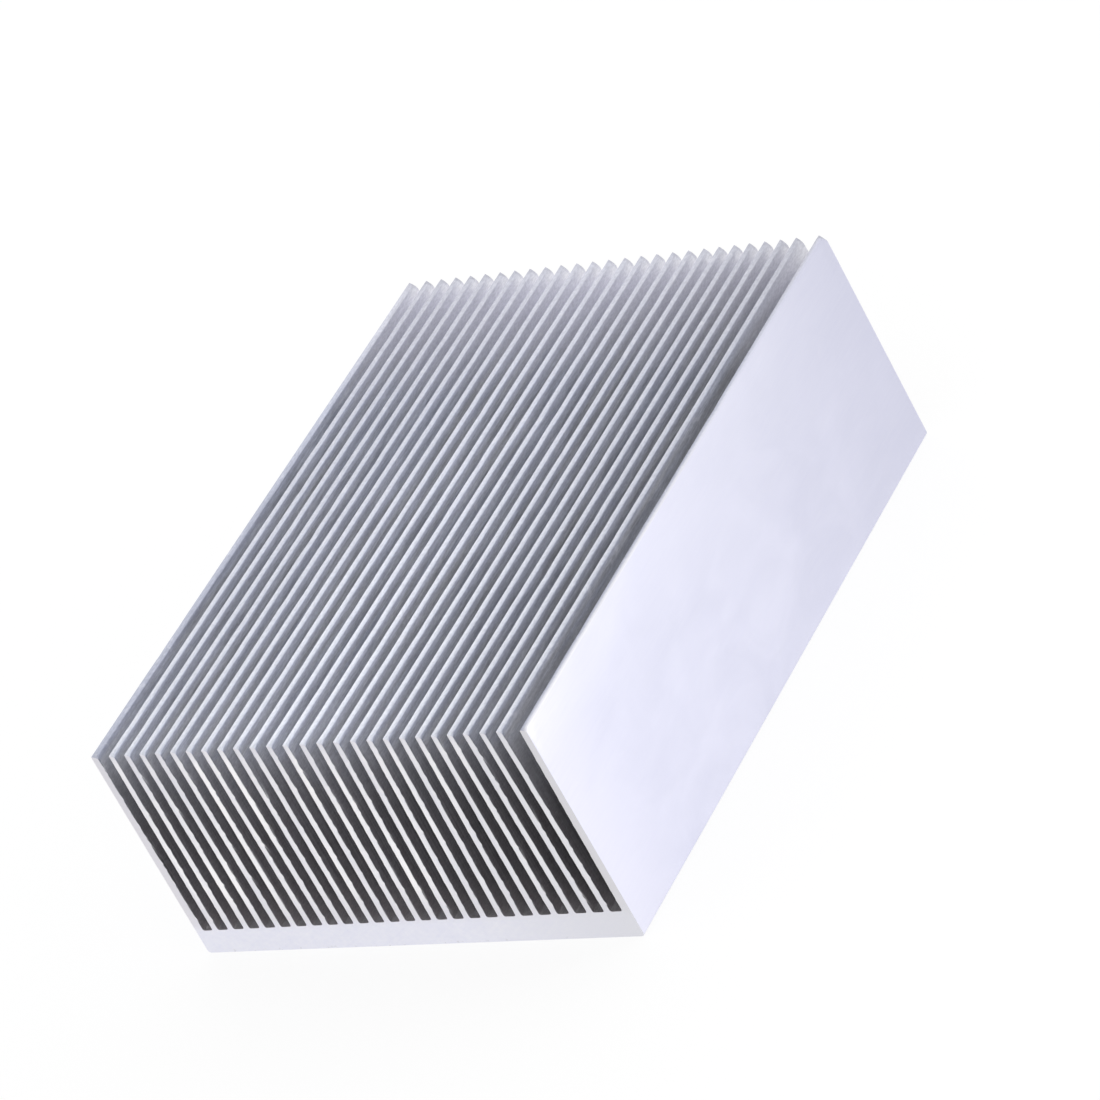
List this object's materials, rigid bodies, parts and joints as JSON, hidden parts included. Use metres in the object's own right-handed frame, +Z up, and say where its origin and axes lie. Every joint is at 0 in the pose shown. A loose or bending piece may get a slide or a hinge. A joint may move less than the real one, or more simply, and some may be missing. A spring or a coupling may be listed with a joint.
{
  "type": "extruded heat sink",
  "caption": "Comb-shaped aluminium heat sink cut from an extruded bar: flat base plate, side walls and a row of thin tapered fins along its length.",
  "frame": {"origin": "middle of the base's underside, on the surface that it stands on or cools", "axes": "+X across the fins, +Y along the fins and slots, +Z up from the base towards the fin tips"},
  "size_m": [0.07, 0.1, 0.035],
  "materials": {
    "aluminium": "bare mill-finish extrusion with sawn ends"
  },
  "bodies": {
    "root": {"heat_sink": "aluminium"}
  },
  "joints": []
}
